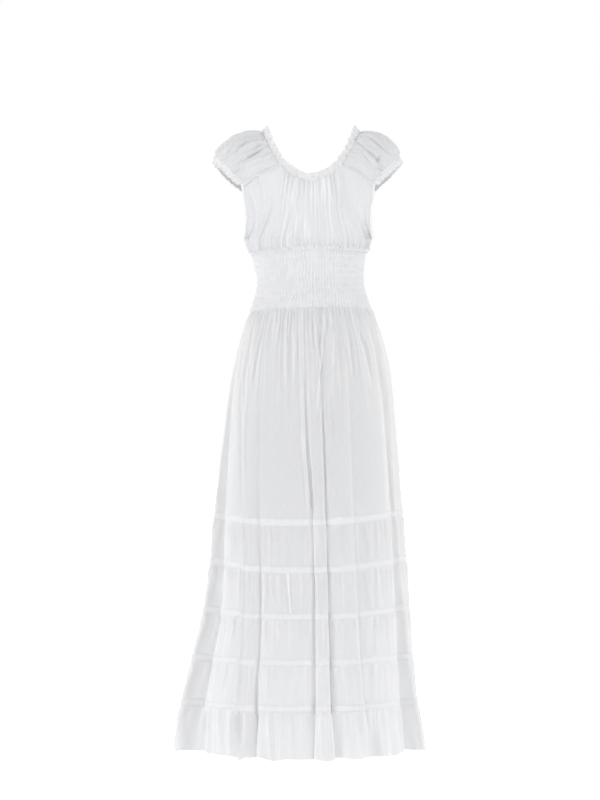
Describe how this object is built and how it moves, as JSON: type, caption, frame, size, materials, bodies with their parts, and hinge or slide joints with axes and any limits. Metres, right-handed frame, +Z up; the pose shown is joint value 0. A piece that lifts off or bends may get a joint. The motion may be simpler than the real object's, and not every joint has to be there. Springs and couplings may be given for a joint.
{
  "type": "maxi dress",
  "caption": "White peasant maxi dress with puffed cap sleeves, a round gathered neckline, a smocked waist and a long tiered skirt, hollow and in worn shape.",
  "frame": {"origin": "between the shoulders, midway between the two sleeves where they rest on them", "axes": "+Z up; the front of the dress faces -Y and its back +Y; +X is the wearer's left"},
  "size_m": [0.5683, 0.5138, 1.4378],
  "materials": {
    "voile": "matt white cotton voile, thin and slightly sheer",
    "tape": "matt white cotton tape, opaque"
  },
  "bodies": {
    "root": {"bodice_back": "voile", "bodice_front": "voile", "sleeve_left": "voile", "sleeve_right": "voile", "neck_casing": "voile", "cuff_left": "voile", "cuff_right": "voile", "armhole_binding_left": "voile", "armhole_binding_right": "voile", "waist_smocking": "voile", "skirt_yoke_back": "voile", "skirt_yoke_front": "voile", "tier_1_back": "voile", "tier_1_front": "voile", "tier_2_back": "voile", "tier_2_front": "voile", "tier_3_back": "voile", "tier_3_front": "voile", "tier_4_back": "voile", "tier_4_front": "voile", "flounce_back": "voile", "flounce_front": "voile", "seam_tape_1": "tape", "seam_tape_2": "tape", "seam_tape_3": "tape", "seam_tape_4": "tape", "seam_tape_5": "tape"}
  },
  "joints": []
}
